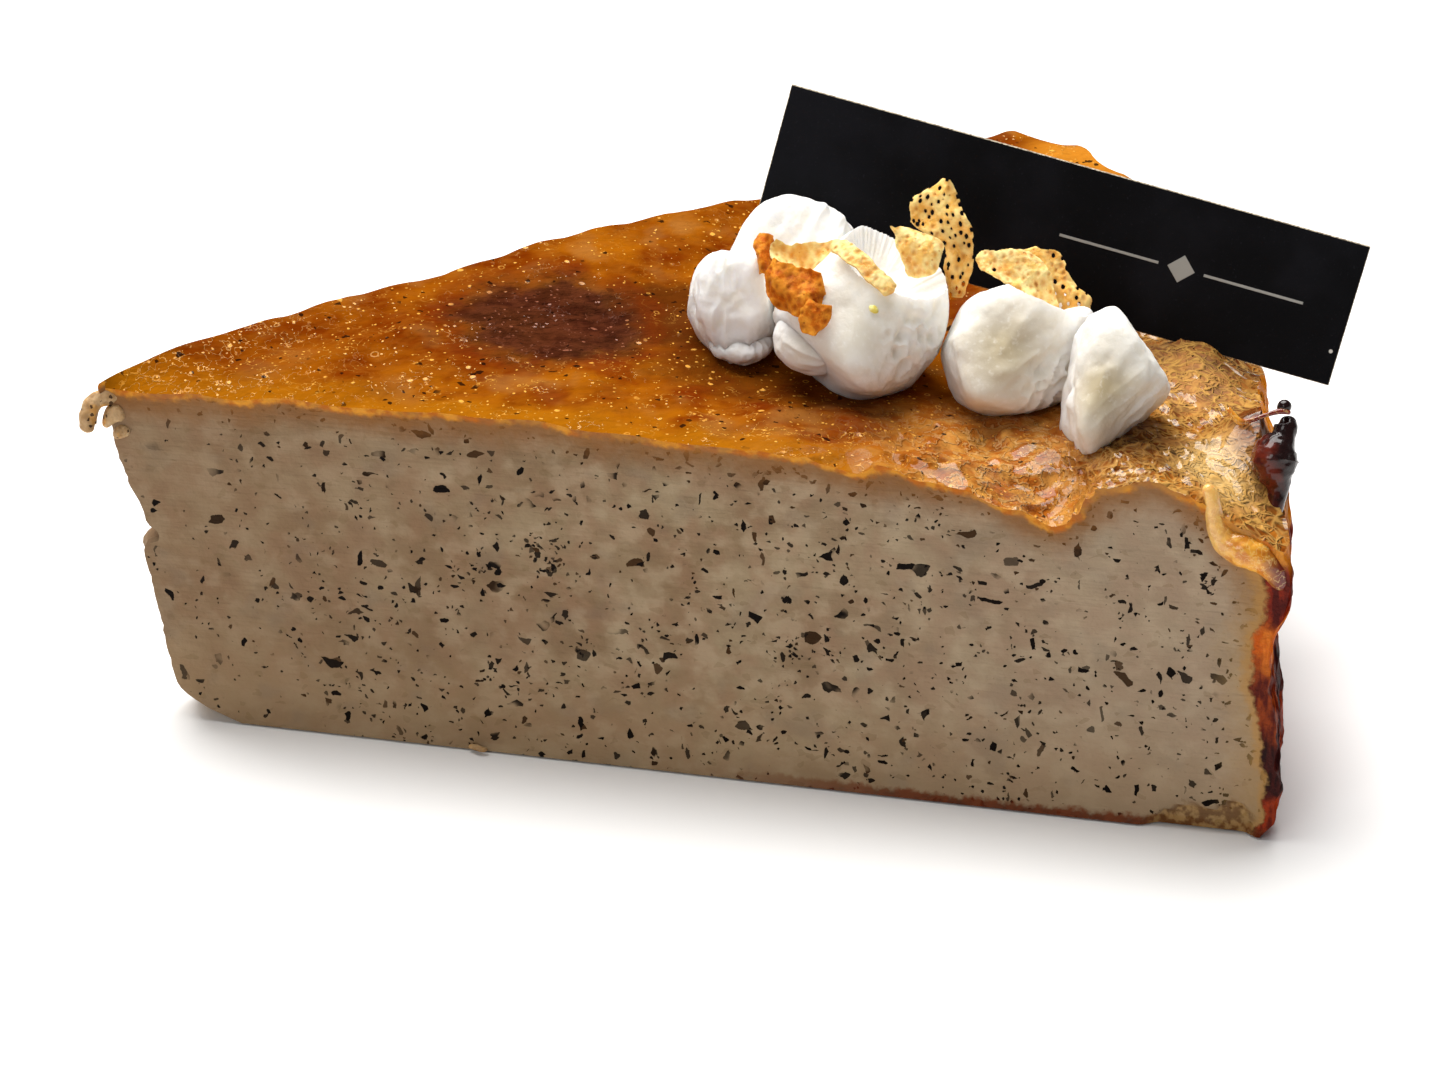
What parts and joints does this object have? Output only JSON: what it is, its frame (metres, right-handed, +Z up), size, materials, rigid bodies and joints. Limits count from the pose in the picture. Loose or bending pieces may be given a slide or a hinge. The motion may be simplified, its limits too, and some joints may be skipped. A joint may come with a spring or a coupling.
{
  "type": "basque burnt cheesecake slice",
  "caption": "Cut slice of burnt cheesecake with speckled custard, a dark caramelised top, spoonfuls of whipped cream, crisp lacy flakes and a small black card.",
  "frame": {"origin": "on the flat base, under the middle of the slice", "axes": "+X from the tip towards the browned outer side, +Z up, -Y towards the cut face that shows"},
  "size_m": [0.1227, 0.0877, 0.0563],
  "materials": {
    "custard": "soft moist baked custard with dark tea specks, glossy amber crust on top",
    "cream": "whipped cream, soft satin",
    "crisp": "thin crisp lacy wafer, matt",
    "card": "black coated card, satin"
  },
  "bodies": {
    "root": {"slice": "custard", "cream_1": "cream", "cream_2": "cream", "cream_3": "cream", "cream_4": "cream", "flake_1": "crisp", "flake_2": "crisp", "flake_3": "crisp", "flake_4": "crisp", "flake_5": "crisp", "flake_6": "crisp", "flake_7": "crisp", "flake_8": "crisp", "flake_9": "crisp", "card": "card"}
  },
  "joints": []
}
